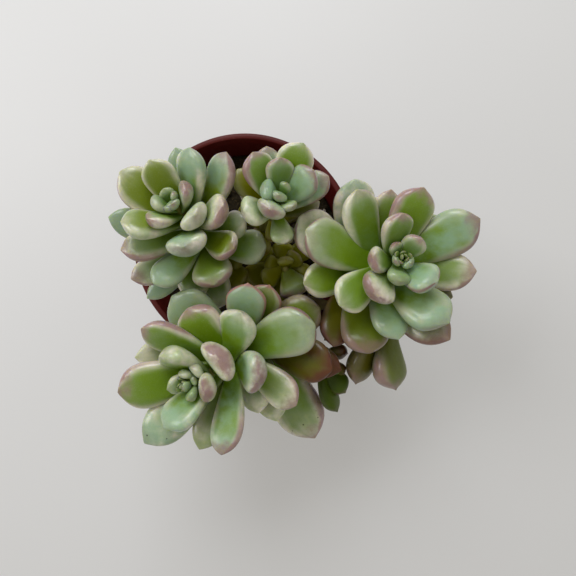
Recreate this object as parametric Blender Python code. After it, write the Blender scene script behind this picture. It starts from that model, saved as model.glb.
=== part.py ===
"""Potted sedum: seven leafy stems standing in a filled plastic nursery pot.

Units are metres, +Z is up and the origin is the centre of the pot's underside.
+X is the right of the plant and +Y its back, seen from straight above.
"""

import math

import bpy
import bmesh
from mathutils import Matrix, Vector, noise

# Driving dimensions of the pot
POT_HEIGHT = 0.065
RIM_RADIUS = 0.0375
LIP_WIDTH = 0.0021
LIP_DROP = 0.0042
NECK_RADIUS = 0.0362
BASE_RADIUS = 0.0262
WALL = 0.0012
FLOOR_THICKNESS = 0.0016
BASE_CHAMFER = 0.0012
DRAIN_COUNT = 6
DRAIN_RADIUS = 0.003
DRAIN_CIRCLE = 0.017
POT_SEGMENTS = 40

# Driving dimensions of the soil
GAP = 0.0003
SOIL_LEVEL = 0.0545
SOIL_DOME = 0.0012
SOIL_LUMP = 0.0011
SOIL_SEGMENTS = 32
SOCKET_BOTTOM = 0.0415

# Driving dimensions of the stems and leaves
STEM_FOOT_Z = 0.042
STEM_BEND_Z = 0.0565
STEM_RADIUS = 0.0021
STEM_TOP_RADIUS = 0.0009
STEM_SIDES = 8
STEM_RINGS = 11
LEAF_SIDES = 8
SMALL_LEAF_SIDES = 6
SMALL_LEAF = 0.0075
LEAF_RINGS = 5
LEAF_DRIFT = 0.85
LEAF_NECK = 0.38
LEAF_WIDEST = 0.74
LEAF_THICKNESS = 0.50
BUD_THICKNESS = 0.56
LEAF_CUP = 0.04
LEAF_CROWN = 0.72
UPRIGHT_START = 0.007
UPRIGHT_RUN = 0.014
UPRIGHT_MOST = 0.85
FIRST_NODE = 0.0010
NODE_STEP = 0.00072
NODE_GROWTH = 0.00001

# Each stem: foot (x, y), a point above the foot, a point below the rosette and the rosette's
# growing tip, in millimetres. Each leaf, youngest first: bearing in degrees counted from +X
# towards +Y, reach and rise of the leaf's tip from the growing tip in millimetres, and the
# leaf's width in millimetres. A fifth number is how far down the stem the leaf springs, for
# the few that spring lower than their turn.
STEMS = {
    "leafy_stem_back_left": {
        "foot": (-7, -6),
        "above_foot": (-6, -7, 68),
        "below_tip": (-8.7, -2, 81.5),
        "tip": (-16.2, 8, 97),
        "leaves": [
            (-54, 1.6, 2.5, 4.4), (60, 1.8, 2.4, 3.2), (-122, 2.6, 2.2, 3.4), (119, 3.2, 1.5, 4.4),
            (178, 4.2, 2.6, 5.8), (44, 5.4, 3.0, 7.2), (-136, 7.2, 3.0, 7.8), (-31, 8.2, 3.8, 9.4),
            (116, 10.8, 3, 9.6), (-156, 14, 0.5, 10.6), (68, 14.2, 2, 10), (-5, 14, 1.5, 10.4),
            (-73, 12.8, 2, 12), (150, 15.7, -1, 11.8), (41, 19.3, 0, 9.6), (-140, 19.5, -5, 9.5),
            (-37, 20, -4, 9.5), (90, 15.5, -5, 9), (-106, 22.6, -6, 9.5), (-10, 19, -8, 8.5),
            (-65, 24, -7, 12.4), (-170, 19, -6, 9.5), (-126, 25, -12, 9), (-24, 26.5, -12, 11),
            (-116, 29, -20, 7), (-91, 25.5, -18, 10.6), (-74, 30.5, -21.5, 9.6),
            (-39, 20.8, -22, 8, 32), (-53, 27, -24, 8, 35), (-101, 14.5, -24, 7.6, 29),
            (-12, 18, -17, 7.6, 24),
        ],
    },
    "leafy_stem_back": {
        "foot": (4, 5),
        "above_foot": (5, 4, 68),
        "below_tip": (10.3, 3.6, 81.5),
        "tip": (12.8, 10.1, 97),
        "leaves": [
            (-114, 1.2, 2.5, 4.6), (55, 2.4, 2, 3.6), (163, 4.3, 2.5, 6.7), (-50, 4.9, 2, 4.6),
            (-120, 5.6, 3, 8.4), (91, 8.5, 2.5, 8), (33, 9.9, 2, 9.4), (126, 12.6, 1, 9.8),
            (66, 14.1, 0, 10.5), (-154, 10.8, 0, 9.2), (-87, 12.7, -5, 6.8), (107, 14, -4, 8),
            (23, 13.8, -4, 8.6), (2, 11, -14, 6.5), (147, 14.7, -7, 8.4), (-98, 11.5, -15, 6.2),
            (-76, 11.8, -13, 6.2), (-178, 13, -19, 7.6, 27), (-119, 16.5, -20, 8, 27),
            (20, 9, -20, 7.6, 28),
        ],
    },
    "leafy_stem_right": {
        "foot": (17, -9),
        "above_foot": (22, -10, 69),
        "below_tip": (42.5, -12.5, 73),
        "tip": (44.8, -7.2, 96),
        "leaves": [
            (-165, 2.0, 1.8, 3.4), (-27, 2.1, 2, 4.2), (116, 4.4, 1.5, 4.4), (-99, 6, 2.5, 6.8),
            (48, 6.5, 3, 6.8), (178, 8.2, 3, 7.6), (-35, 10.2, 3, 10.2), (93, 11.4, 3, 9.4),
            (-128, 12, 3, 11), (73, 19.6, 0, 12.6), (-143, 20.4, -1.5, 11.4), (27, 24, -2, 13.4),
            (163, 26.4, -1, 14), (-53, 21.2, -1, 14.4), (122, 22, -2, 12), (-8, 22, -5, 11.5),
            (-89, 21.8, -5, 10.8), (-166, 26.5, -5, 10.8), (94, 19.7, -6, 9.5), (47, 17, -6, 8.5),
            (156, 29.4, -6, 14), (117, 25.2, -6, 13), (-56, 26.5, -6, 12.8), (-31, 20, -10, 9.4),
            (-105, 27, -9, 15), (-124, 30, -13, 10.5), (172, 17, -22, 8, 28), (-150, 18, -20, 8, 27),
            (60, 10, -20, 8, 24), (-30, 13, -20, 8, 23),
        ],
    },
    "leafy_stem_front_left": {
        "foot": (2, -14),
        "above_foot": (8, -24, 70),
        "below_tip": (5, -35, 81),
        "tip": (-12.2, -40.6, 95),
        "leaves": [
            (40, 2.4, 1.8, 3.2), (-147, 1.4, 1.8, 3.2), (-87, 3.8, 2, 4.9), (126, 3.4, 2, 4.4),
            (70, 4.9, 3, 5.2), (-168, 5.2, 1.6, 5.6), (-20, 5.2, 3.5, 9), (130, 10.2, 3, 11.2),
            (-118, 12.7, 1, 11.2), (43, 11.3, 4, 12.8), (-66, 21.4, -2, 9.8, 16),
            (-172, 19.4, -2, 14), (5, 18.9, 1.5, 12.2, 16), (132, 19.5, -2, 10.5),
            (54, 23.6, 0, 12), (92, 19.8, -3, 14), (-127, 21.8, -5, 13), (25, 37.3, -2, 15),
            (-14, 29.9, -6, 10.8), (-85, 20, -7, 10), (105, 24, -8, 14.5), (60, 31, -6, 12.4),
            (160, 17.5, -7, 10.2), (-30, 21, -10, 9.4), (51, 34, -10, 11.6), (3, 39.3, -9, 13.5),
            (28.5, 41, -12, 13), (-31, 27.3, -14, 10.7), (60, 12.3, -23, 8, 32),
            (33, 33.8, -19, 8, 30), (-33.6, 42.6, -27, 17, 30),
            (1, 42.8, -15.5, 11, 28),
        ],
    },
    "leafy_stem_front_low": {
        "foot": (13, -25),
        "above_foot": (14, -26.5, 66),
        "below_tip": (22, -33, 70),
        "tip": (28.3, -40, 72.5),
        "leaves": [
            (75, 2.2, 1.5, 3.6), (-110, 2.6, 1.5, 4), (-38, 5.6, -2.5, 6), (-61, 9.9, -1.5, 8.4),
            (-81.5, 14.7, -0.5, 9.2), (32, 6.8, -3, 8),
        ],
    },
    "leafy_stem_centre": {
        "foot": (10, -4),
        "above_foot": (10, -4.5, 65),
        "below_tip": (13, -8, 71),
        "tip": (14, -9.2, 77),
        "leaves": [
            (-63, 8.8, 1, 10.6), (90, 3.1, 1.5, 5.4), (47, 6.3, -2, 6.9), (-150, 8.2, -1.6, 7.1),
            (166, 6.9, -2, 7.1), (-20, 7.8, -4, 7.8), (95, 9.4, -6, 7.3), (-110, 10.5, -7, 7.7),
            (148, 13, -12, 9), (-165, 14, -13, 9), (44, 12, -12, 7.5), (-94, 11.5, -14, 7),
        ],
    },
    "leafy_stem_right_low": {
        "foot": (16, -18),
        "above_foot": (19, -19, 71.5),
        "below_tip": (48, -25, 68),
        "tip": (49, -26.5, 76),
        "leaves": [
            (20, 3, 1.5, 4.2), (-150, 3.2, 0.6, 4), (-91, 20.4, -2, 15.5), (-124, 22.8, -3.5, 14),
            (-166, 23, -8, 12),
        ],
    },
}


def clear_scene():
    """Remove every object that the scene holds."""
    for item in list(bpy.data.objects):
        bpy.data.objects.remove(item, do_unlink=True)


def make_material(name, colour, roughness, metallic=0.0):
    """Return a Principled material of one colour."""
    material = bpy.data.materials.new(name)
    material.use_nodes = True
    shader = material.node_tree.nodes["Principled BSDF"]
    shader.inputs["Base Color"].default_value = (*colour, 1.0)
    shader.inputs["Roughness"].default_value = roughness
    shader.inputs["Metallic"].default_value = metallic
    material.diffuse_color = (*colour, 1.0)
    return material


def link_object(name, bm, material):
    """Turn a bmesh into a named object with one material."""
    mesh = bpy.data.meshes.new(name)
    bm.to_mesh(mesh)
    bm.free()
    thing = bpy.data.objects.new(name, mesh)
    bpy.context.scene.collection.objects.link(thing)
    if material is not None:
        mesh.materials.append(material)
    return thing


def apply_boolean(target, operation, tool=None, tools=None):
    """Apply one exact Boolean of a single tool object or of a collection of them."""
    modifier = target.modifiers.new("Boolean", "BOOLEAN")
    modifier.operation = operation
    modifier.solver = "EXACT"
    if tools is None:
        modifier.object = tool
    else:
        modifier.operand_type = "COLLECTION"
        modifier.collection = tools
    graph = bpy.context.evaluated_depsgraph_get()
    result = bpy.data.meshes.new_from_object(target.evaluated_get(graph))
    target.modifiers.remove(modifier)
    old = target.data
    material = old.materials[0] if old.materials else None
    target.data = result
    result.name = target.name
    result.materials.clear()
    if material is not None:
        result.materials.append(material)
    bpy.data.meshes.remove(old)


def remove_object(thing):
    """Delete an object that has served as a tool."""
    bpy.data.objects.remove(thing, do_unlink=True)


def spin_profile(bm, profile, segments):
    """Spin a chain of (radius, height) points about Z into a closed skin."""
    verts = [bm.verts.new((radius, 0.0, height)) for radius, height in profile]
    edges = [bm.edges.new(pair) for pair in zip(verts, verts[1:])]
    if profile[0][0] > 0.0:
        edges.append(bm.edges.new((verts[-1], verts[0])))
    bmesh.ops.spin(bm, geom=verts + edges, cent=(0, 0, 0), axis=(0, 0, 1), dvec=(0, 0, 0),
                   angle=2.0 * math.pi, steps=segments, use_merge=False)
    bmesh.ops.remove_doubles(bm, verts=bm.verts[:], dist=0.000005)
    bmesh.ops.recalc_face_normals(bm, faces=bm.faces[:])


def keep_one_body(thing):
    """Drop scraps and inner pockets, so that only the largest outer skin is left."""
    bm = bmesh.new()
    bm.from_mesh(thing.data)
    bmesh.ops.remove_doubles(bm, verts=bm.verts[:], dist=0.0000005)
    bmesh.ops.dissolve_degenerate(bm, edges=bm.edges[:], dist=0.000001)
    bmesh.ops.triangulate(bm, faces=bm.faces[:])
    unseen = set(bm.faces)
    groups = []
    while unseen:
        group = []
        stack = [unseen.pop()]
        while stack:
            face = stack.pop()
            group.append(face)
            for edge in face.edges:
                for other in edge.link_faces:
                    if other in unseen:
                        unseen.remove(other)
                        stack.append(other)
        groups.append(group)
    groups.sort(key=lambda faces: sum(face.calc_area() for face in faces), reverse=True)
    spare = [face for group in groups[1:] for face in group]
    if spare:
        bmesh.ops.delete(bm, geom=spare, context="FACES")
    bm.to_mesh(thing.data)
    bm.free()


def shade(thing, angle):
    """Shade smooth, with edges sharper than the angle kept sharp."""
    thing.data.shade_smooth()
    thing.data.set_sharp_from_angle(angle=math.radians(angle))


def make_pot(material):
    """Thin tapering nursery pot with a turned-down lip and drain holes round its base."""
    lip_inner = RIM_RADIUS - LIP_WIDTH
    lip_under = POT_HEIGHT - LIP_DROP
    profile = [
        (0.0, 0.0),
        (BASE_RADIUS * 0.45, 0.0),
        (BASE_RADIUS - BASE_CHAMFER, 0.0),
        (BASE_RADIUS, BASE_CHAMFER),
        (NECK_RADIUS, POT_HEIGHT - 0.0015),
        (RIM_RADIUS - 0.0008, POT_HEIGHT - 0.0015),
        (RIM_RADIUS - 0.0008, lip_under),
        (RIM_RADIUS, lip_under),
        (RIM_RADIUS, POT_HEIGHT - 0.0006),
        (RIM_RADIUS - 0.0006, POT_HEIGHT),
        (lip_inner + 0.0005, POT_HEIGHT),
        (lip_inner, POT_HEIGHT - 0.0006),
        (NECK_RADIUS - WALL - 0.0004, POT_HEIGHT - 0.0026),
        (BASE_RADIUS - WALL + 0.0002, FLOOR_THICKNESS),
        (BASE_RADIUS * 0.45, FLOOR_THICKNESS),
        (0.0, FLOOR_THICKNESS),
    ]
    bm = bmesh.new()
    spin_profile(bm, profile, POT_SEGMENTS)
    pot = link_object("pot", bm, material)
    holes = bmesh.new()
    for index in range(DRAIN_COUNT):
        angle = 2.0 * math.pi * (index + 0.5) / DRAIN_COUNT
        place = Vector((DRAIN_CIRCLE * math.cos(angle), DRAIN_CIRCLE * math.sin(angle), 0.0))
        bmesh.ops.create_cone(holes, cap_ends=True, segments=12, radius1=DRAIN_RADIUS,
                              radius2=DRAIN_RADIUS, depth=0.02,
                              matrix=Matrix.Translation(place))
    cutter = link_object("drain_cutter", holes, None)
    cutter.hide_render = True
    cutter.display_type = "WIRE"
    apply_boolean(pot, "DIFFERENCE", tool=cutter)
    remove_object(cutter)
    keep_one_body(pot)
    shade(pot, 35)
    return pot


def pot_inner_radius(height):
    """Inner radius of the pot's wall at a height below the lip."""
    low = BASE_RADIUS - WALL + 0.0002
    high = NECK_RADIUS - WALL - 0.0004
    share = (height - FLOOR_THICKNESS) / (POT_HEIGHT - 0.0026 - FLOOR_THICKNESS)
    return low + (high - low) * share


def make_soil(material):
    """Potting soil with a lumpy, slightly domed top and one plain hole for each stem."""
    bottom = FLOOR_THICKNESS + GAP
    edge = pot_inner_radius(SOIL_LEVEL) - GAP - 0.0002
    profile = [(0.0, bottom), (pot_inner_radius(bottom) - GAP - 0.0002, bottom)]
    profile.append((edge, SOIL_LEVEL))
    rings = 6
    for index in range(1, rings + 1):
        profile.append((edge * (1.0 - index / rings), SOIL_LEVEL))
    bm = bmesh.new()
    spin_profile(bm, profile, SOIL_SEGMENTS)
    for vert in bm.verts:
        radius = math.hypot(vert.co.x, vert.co.y)
        if vert.co.z > SOIL_LEVEL - 0.0001 and radius < edge * 0.99:
            place = Vector((vert.co.x, vert.co.y, 0.0)) * 160.0
            lump = noise.noise(place) + 0.5 * noise.noise(place * 2.3)
            vert.co.z += SOIL_DOME * (1.0 - radius / edge) + SOIL_LUMP * lump
    soil = link_object("soil", bm, material)
    sockets = bmesh.new()
    for stem in STEMS.values():
        place = Vector((stem["foot"][0] * 0.001, stem["foot"][1] * 0.001, SOCKET_BOTTOM + 0.0125))
        radius = (STEM_RADIUS + GAP) / math.cos(math.pi / 16)
        bmesh.ops.create_cone(sockets, cap_ends=True, segments=16, radius1=radius,
                              radius2=radius, depth=0.025, matrix=Matrix.Translation(place))
    cutter = link_object("socket_cutter", sockets, None)
    cutter.hide_render = True
    cutter.display_type = "WIRE"
    apply_boolean(soil, "DIFFERENCE", tool=cutter)
    remove_object(cutter)
    keep_one_body(soil)
    shade(soil, 50)
    return soil


def stem_point(stem, share):
    """Point on the stem's free curve, from where it leaves the soil to its growing tip."""
    start = Vector((*stem["foot"], STEM_BEND_Z * 1000.0))
    first = Vector(stem["above_foot"])
    second = Vector(stem["below_tip"])
    end = Vector(stem["tip"])
    rest = 1.0 - share
    point = start * rest ** 3 + first * (3.0 * rest * rest * share)
    point += second * (3.0 * rest * share * share) + end * share ** 3
    return point * 0.001


def stem_path(stem, count=120):
    """Evenly numbered points along the free curve, with the length run to each."""
    points = [stem_point(stem, index / count) for index in range(count + 1)]
    runs = [0.0]
    for near, far in zip(points, points[1:]):
        runs.append(runs[-1] + (far - near).length)
    return points, runs


def point_below_tip(stem, distance):
    """Point on the stem a distance below its tip, and the way the stem grows there."""
    points, runs = stem_path(stem)
    target = max(runs[-1] - distance, 0.0)
    index = 0
    while index < len(runs) - 2 and runs[index + 1] < target:
        index += 1
    share = (target - runs[index]) / (runs[index + 1] - runs[index])
    place = points[index].lerp(points[index + 1], share)
    return place, (points[index + 1] - points[index]).normalized()


def leaf_width(share):
    """Half-outline of a leaf from 0 at its root to 1 at its tip, as a share of its width."""
    rise = min(share / LEAF_WIDEST, 1.0)
    swell = LEAF_NECK + (1.0 - LEAF_NECK) * rise * rise * (3.0 - 2.0 * rise)
    past = max((share - LEAF_WIDEST) / (1.0 - LEAF_WIDEST), 0.0)
    blunt = max(1.0 - past ** 2.3, 0.0) ** 0.5
    return swell * blunt * max(1.0 - (1.0 - share) ** 20, 0.0) ** 0.5


def leaf_facing(growth, drop):
    """Way a leaf's upper face looks: along the stem when it is young, and upwards when old."""
    share = min(max((drop - UPRIGHT_START) / UPRIGHT_RUN, 0.0), UPRIGHT_MOST)
    return growth.lerp(Vector((0.0, 0.0, 1.0)), share)


def leaf_bmesh(root, facing, tip, width, youth):
    """One fleshy leaf: a sphere drawn out from root to tip, flatter above and full below."""
    crown = LEAF_CROWN + 0.1 * youth
    thickness = LEAF_THICKNESS + (BUD_THICKNESS - LEAF_THICKNESS) * youth
    cup = LEAF_CUP * (1.0 - youth)
    bow = 0.10 + 0.08 * youth
    chord = tip - root
    across = chord.cross(facing).normalized()
    upward = across.cross(chord).normalized()
    middle = root + chord * 0.5 - upward * (bow * chord.length)
    bm = bmesh.new()
    sides = SMALL_LEAF_SIDES if width < SMALL_LEAF else LEAF_SIDES
    bmesh.ops.create_uvsphere(bm, u_segments=sides, v_segments=LEAF_RINGS, radius=1.0)
    for vert in bm.verts:
        share = ((1.0 + vert.co.z) / 2.0) ** LEAF_DRIFT
        ring = math.hypot(vert.co.x, vert.co.y)
        side = vert.co.x / ring if ring > 0.001 else 0.0
        height = vert.co.y / ring if ring > 0.001 else 0.0
        rest = 1.0 - share
        spine = root * (rest * rest) + middle * (2.0 * share * rest) + tip * (share * share)
        run = (middle - root) * rest + (tip - middle) * share
        lift = across.cross(run.normalized())
        half = 0.5 * width * leaf_width(share)
        depth = half * thickness * (crown if height > 0.0 else 2.0 - crown)
        bend = cup * half * (side * side - 0.4) if ring > 0.001 else 0.0
        vert.co = spine - across * (half * side) + lift * (depth * height + bend)
    return bm


def stem_bmesh(stem):
    """Round stem: upright in the soil, then bending out, made by drawing its end cap along."""
    points, runs = stem_path(stem)
    places = [Vector((points[0].x, points[0].y, STEM_FOOT_Z))]
    for index in range(STEM_RINGS):
        places.append(point_below_tip(stem, runs[-1] * (1.0 - index / (STEM_RINGS - 1)))[0])
    bm = bmesh.new()
    made = bmesh.ops.create_circle(bm, cap_ends=True, segments=STEM_SIDES, radius=STEM_RADIUS,
                                   matrix=Matrix.Translation(places[0]))
    cap = made["verts"][0].link_faces[0]
    heading = Vector((0.0, 0.0, 1.0))
    for index in range(1, len(places)):
        ahead = places[min(index + 1, len(places) - 1)] - places[index - 1]
        if index == 1:
            ahead = Vector((0.0, 0.0, 1.0))
        turn = heading.rotation_difference(ahead.normalized()).to_matrix()
        taper = (index - 1) / (len(places) - 2)
        radius = STEM_RADIUS + (STEM_TOP_RADIUS - STEM_RADIUS) * taper ** 1.5
        centre = cap.calc_center_median()
        old_radius = (cap.verts[0].co - centre).length
        grown = bmesh.ops.extrude_face_region(bm, geom=[cap])
        if index > 1:
            bmesh.ops.delete(bm, geom=[cap], context="FACES_ONLY")
        cap = [item for item in grown["geom"] if isinstance(item, bmesh.types.BMFace)][0]
        for vert in cap.verts:
            arm = turn @ (vert.co - centre)
            vert.co = places[index] + arm * (radius / old_radius)
        heading = ahead.normalized()
    bmesh.ops.recalc_face_normals(bm, faces=bm.faces[:])
    return bm


def make_leafy_stem(name, stem, material):
    """One stem with all its leaves fused to it as a single body."""
    body = link_object(name, stem_bmesh(stem), material)
    leaves = bpy.data.collections.new(name + "_leaves")
    bpy.context.scene.collection.children.link(leaves)
    apex = Vector(stem["tip"]) * 0.001
    for index, row in enumerate(stem["leaves"]):
        bearing, reach, rise, width = row[:4]
        drop = FIRST_NODE + NODE_STEP * index + NODE_GROWTH * index * index
        if len(row) > 4:
            drop = row[4] * 0.001
        root, growth = point_below_tip(stem, drop)
        angle = math.radians(bearing)
        tip = apex + Vector((reach * math.cos(angle), reach * math.sin(angle), rise)) * 0.001
        youth = max(0.0, 1.0 - index / 9.0)
        facing = leaf_facing(growth, drop)
        bm = leaf_bmesh(root, facing, tip, width * 0.001, youth)
        mesh = bpy.data.meshes.new("leaf")
        bm.to_mesh(mesh)
        bm.free()
        leaves.objects.link(bpy.data.objects.new("leaf", mesh))
    apply_boolean(body, "UNION", tools=leaves)
    for leaf in list(leaves.objects):
        remove_object(leaf)
    bpy.data.collections.remove(leaves)
    keep_one_body(body)
    shade(body, 60)
    return body


def main():
    """Model the whole plant in its pot."""
    clear_scene()
    pot_plastic = make_material("pot_plastic", (0.055, 0.012, 0.014), 0.45)
    potting_soil = make_material("potting_soil", (0.028, 0.018, 0.011), 0.95)
    green_leaf = make_material("green_leaf", (0.17, 0.25, 0.06), 0.42)
    make_pot(pot_plastic)
    make_soil(potting_soil)
    for name, stem in STEMS.items():
        make_leafy_stem(name, stem, green_leaf)


main()
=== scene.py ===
"""Potted sedum, dressed: fleshy variegated rosettes over a filled nursery pot.

Run as a script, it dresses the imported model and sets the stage. Units are metres, +Z is up
and the origin is the centre of the pot's underside.
"""

import math
import random
from collections import Counter

import bmesh
import bpy
from bpy.props import FloatProperty, FloatVectorProperty, IntProperty, PointerProperty
from mathutils import Euler, Matrix, Vector, noise


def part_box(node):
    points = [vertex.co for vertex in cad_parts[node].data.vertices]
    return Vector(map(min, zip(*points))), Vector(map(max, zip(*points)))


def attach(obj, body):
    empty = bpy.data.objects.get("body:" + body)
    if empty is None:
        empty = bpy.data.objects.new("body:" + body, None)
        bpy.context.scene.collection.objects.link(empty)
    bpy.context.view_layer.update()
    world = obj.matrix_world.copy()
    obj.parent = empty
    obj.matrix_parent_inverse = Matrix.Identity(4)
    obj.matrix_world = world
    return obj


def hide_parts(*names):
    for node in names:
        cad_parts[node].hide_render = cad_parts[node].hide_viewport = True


bl_info = {
    "name": "Potted Sedum",
    "version": (1, 0, 0),
    "blender": (4, 5, 0),
    "location": "View3D > Sidebar > Sedum",
    "description": "Dresses a potted sedum with its leaves, soil and pot, and lights it",
    "category": "Object",
}

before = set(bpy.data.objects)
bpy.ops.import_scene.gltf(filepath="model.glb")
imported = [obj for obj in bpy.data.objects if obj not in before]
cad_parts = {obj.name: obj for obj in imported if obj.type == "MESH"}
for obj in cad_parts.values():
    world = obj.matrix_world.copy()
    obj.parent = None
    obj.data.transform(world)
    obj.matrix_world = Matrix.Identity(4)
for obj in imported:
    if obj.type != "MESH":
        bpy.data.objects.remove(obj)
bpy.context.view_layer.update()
POT_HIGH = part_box("pot")[1]

MM = 0.001
BODY = "root"
FULL_TURN = 2.0 * math.pi
GOLDEN_ANGLE = 2.39996
UP = Vector((0.0, 0.0, 1.0))
MERGE = 0.000002
NEAR = 0.0001
POLE = 0.001

# The pot's fixed proportions, as the plain solid has them, in metres. Inside, the wall's taper
# starts NECK_DROP below the rim, NECK_STEP thicker there and BASE_STEP thinner at the floor.
NECK_RADIUS = 0.0362
BASE_RADIUS = 0.0262
HUB_RADIUS = BASE_RADIUS * 0.45
FLOOR_THICKNESS = 0.0016
BASE_CHAMFER = 0.0012
NECK_DROP = 0.0026
NECK_STEP = 0.0004
BASE_STEP = 0.0002
POT_SEGMENTS = 128
POT_SHARP_ANGLE = 38.0
DRAIN_COUNT = 6
DRAIN_RADIUS = 0.003
DRAIN_CIRCLE = 0.017
DRAIN_SEGMENTS = 32
DRAIN_DEPTH = 0.02

# The soil, in metres: its gap to the pot, and a top that is domed, lumpy and rough but even at
# its edge
SOIL_GAP = 0.0003
SOIL_EASE = 0.0002
SOIL_LEVEL = 0.0545
SOIL_DOME = 0.0012
SOIL_LUMP = 0.0011
SOIL_FINE = 0.0004
SOIL_RINGS = 44
SOIL_FADE = 12.0
SOIL_SEED = 11

# Crumbs and grit: their sizes in metres, and the rest as shares of a lump's size, but its turn,
# in radians
CRUMB_SIZES = (0.0005, 0.0013)
GRIT_SIZES = (0.0006, 0.0014)
LUMP_LENGTHS = (0.6, 1.0)
LUMP_HEIGHTS = (0.5, 0.9)
LUMP_STANDS = 0.25
LUMP_CLEAR = 1.2
LUMP_JOLT = 0.18
LUMP_TURN = 6.28

# The stems, in metres: a straight foot in the soil, then a taper with faint knots. Leaves spring
# from the first node down. The first YOUNG_LEAVES still grow, and lower ones face more upwards.
STEM_FOOT_Z = 0.042
STEM_BEND_Z = 0.0565
STEM_RADIUS = 0.0021
STEM_TOP_RADIUS = 0.0009
STEM_TAPER = 1.5
STEM_STEPS = 120
STEM_SIDES = 14
STEM_RINGS = 40
KNOT_EVERY = 3
KNOT_SWELL = 0.05
KNOT_WAIST = -0.02
FIRST_NODE = 0.0010
NODE_STEP = 0.00072
NODE_GROWTH = 0.00001
YOUNG_LEAVES = 9.0
UPRIGHT_START = 0.007
UPRIGHT_RUN = 0.014
UPRIGHT_MOST = 0.85

# A leaf's fixed proportions, as shares of its length, width or thickness. BUD_ is what the
# youngest ones add to them.
LEAF_SEGMENTS = 16
LEAF_NECK = 0.38
LEAF_WIDEST = 0.74
LEAF_BLUNT = 2.3
ROOT_ROUND = 20
LEAF_CROWN = 0.84
BUD_CROWN = 0.1
LEAF_BOW = 0.10
BUD_BOW = 0.08
SIDE_BOW = 0.10
TIP_POINT = 0.56
TIP_CHANCE = 0.22
BUD_POINT = 0.16
DRAWN_POINT = 0.3
TIP_PUSH = 0.04
RIM_SQUARE = 0.92
RIM_FULL = 0.94
HOLLOW_WIDTH = 0.80
HOLLOW_END = (0.45, 0.95)
HOLLOW_FADE = 0.8
BUD_FILL = 0.5
CUP_MIDDLE = 0.4
KEEL = 0.16
BUD_KEEL = 0.14
KEEL_START = (0.35, 0.85)
BUMP_START = (0.05, 0.3)

# The tiny leaves that close a growing tip, in metres. The pairs are the innermost leaf's
# measure and what is added towards the outermost.
APEX_SPRING = 0.0003
APEX_RISE = (0.0028, -0.0012)
APEX_SPREAD = (0.0001, 0.0026)
APEX_WIDTH = (0.0014, 0.0007)
APEX_AGE = -0.4
# Past 1.7, this deep also paints some shade on the tiny leaves in the rosette's heart
APEX_DEEP = 2.4
APEX_MINT = 0.2
APEX_MAUVE = 0.3

# The vectors that a leaf's points carry: across, face and along; age with its painted shade,
# chance and deep; mint, ruddy and mauve; rimmed, lean and specked; misty, hidden (with its
# painted glow) and pointed
LAYERS = ("leaf_place", "leaf_kind", "leaf_tone", "leaf_marks", "leaf_haze")

# How deep a leaf's green is: the least, how far chance adds to it, and what the tones add. A
# deep past 1.7, as the dark tone gives, paints shade over the leaf
DEEP_LEAST = 0.25
DEEP_CHANCE = 0.4
DEEPENING = {"vivid": 0.6, "pale": -0.4, "olive": 0.8, "dusky": 0.6, "dark": 1.8}

# How many millimetres below the growing tip a leaf is old, and what tones change of its age.
# The age also carries painted shade: a shaded stem's, and that of olive and dusky leaves
OLD_DROP = 22.0
BRIGHT_SHARE = 0.85
OLIVE_AGE = 2.0
DUSKY_AGE = 1.55

# The most wax and mauve that chance alone gives, and how strong other tones are
MINT_CHANCE = 0.4
MAUVE_CHANCE = 0.5
RUDDY_HELD = 0.4
LEAN_PUSH = 1.8
SUNNY_SHARE = 0.45
LEAF_SEED = 5

# The unevenness of the shapes and the patterns of the materials, in repeats to the metre, but
# the middling lumps in repeats to a large one, and how strong a finer unevenness is
FINER = 0.5
FLESH_BUMPS = 190.0
FINE_FLESH_BUMPS = 480.0
SOIL_LUMPS = 160.0
SOIL_MID_LUMPS = 2.3
SOIL_FINE_LUMPS = 700.0
LEAF_CLOUDS = 140.0
LEAF_PATCHES = 380.0
LEAF_GRAIN = 1500.0
LEAF_FROST = 3600.0
LEAF_DOTS = 420.0
STEM_PATCHES = 420.0
POT_CLOUDS = 45.0
POT_GRAIN = 1900.0
POT_DRAG_ROUND = 900.0
POT_DRAG_UP = 60.0
SOIL_CRUMBS = 700.0
SOIL_FIBRES = 1500.0
SOIL_PATCHES = 160.0
GRIT_PORES = 1700.0
FLOOR_CLOUDS = 7.0

# How much light goes into a leaf and how far each colour of it gets; then, in metres, that depth,
# how high each material's bumps are and where the stems turn corky
FLESH_GLOW = 0.6
FLESH_REACH = (0.95, 1.0, 0.12)
FLESH_DEPTH = 0.0012
LEAF_BUMP = 0.00012
STEM_BUMP = 0.0004
POT_BUMP = 0.00006
SOIL_BUMP = 0.0009
GRIT_BUMP = 0.0003
CORK_TOP = 0.078
CORK_RUN = 0.016

# The stage, in metres; each lamp has a name, place, size and colour
FLOOR_HALF = 3.0
SKY_COLOUR = (1.0, 0.97, 0.90)
WINDOW = ("window", (-0.04, 0.70, 0.72), 0.5, (0.93, 0.96, 1.0))
SIDE_WINDOW = ("side_window", (-0.64, 0.28, 0.72), 0.45, (0.96, 0.97, 1.0))
LAMP_AIM = Vector((0.01, -0.01, 0.07))
CAMERA_PLACE = (0.0146, -0.0149, 0.2106)
CAMERA_CLIP = 0.01
SENSOR_WIDTH = 36.0
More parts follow.
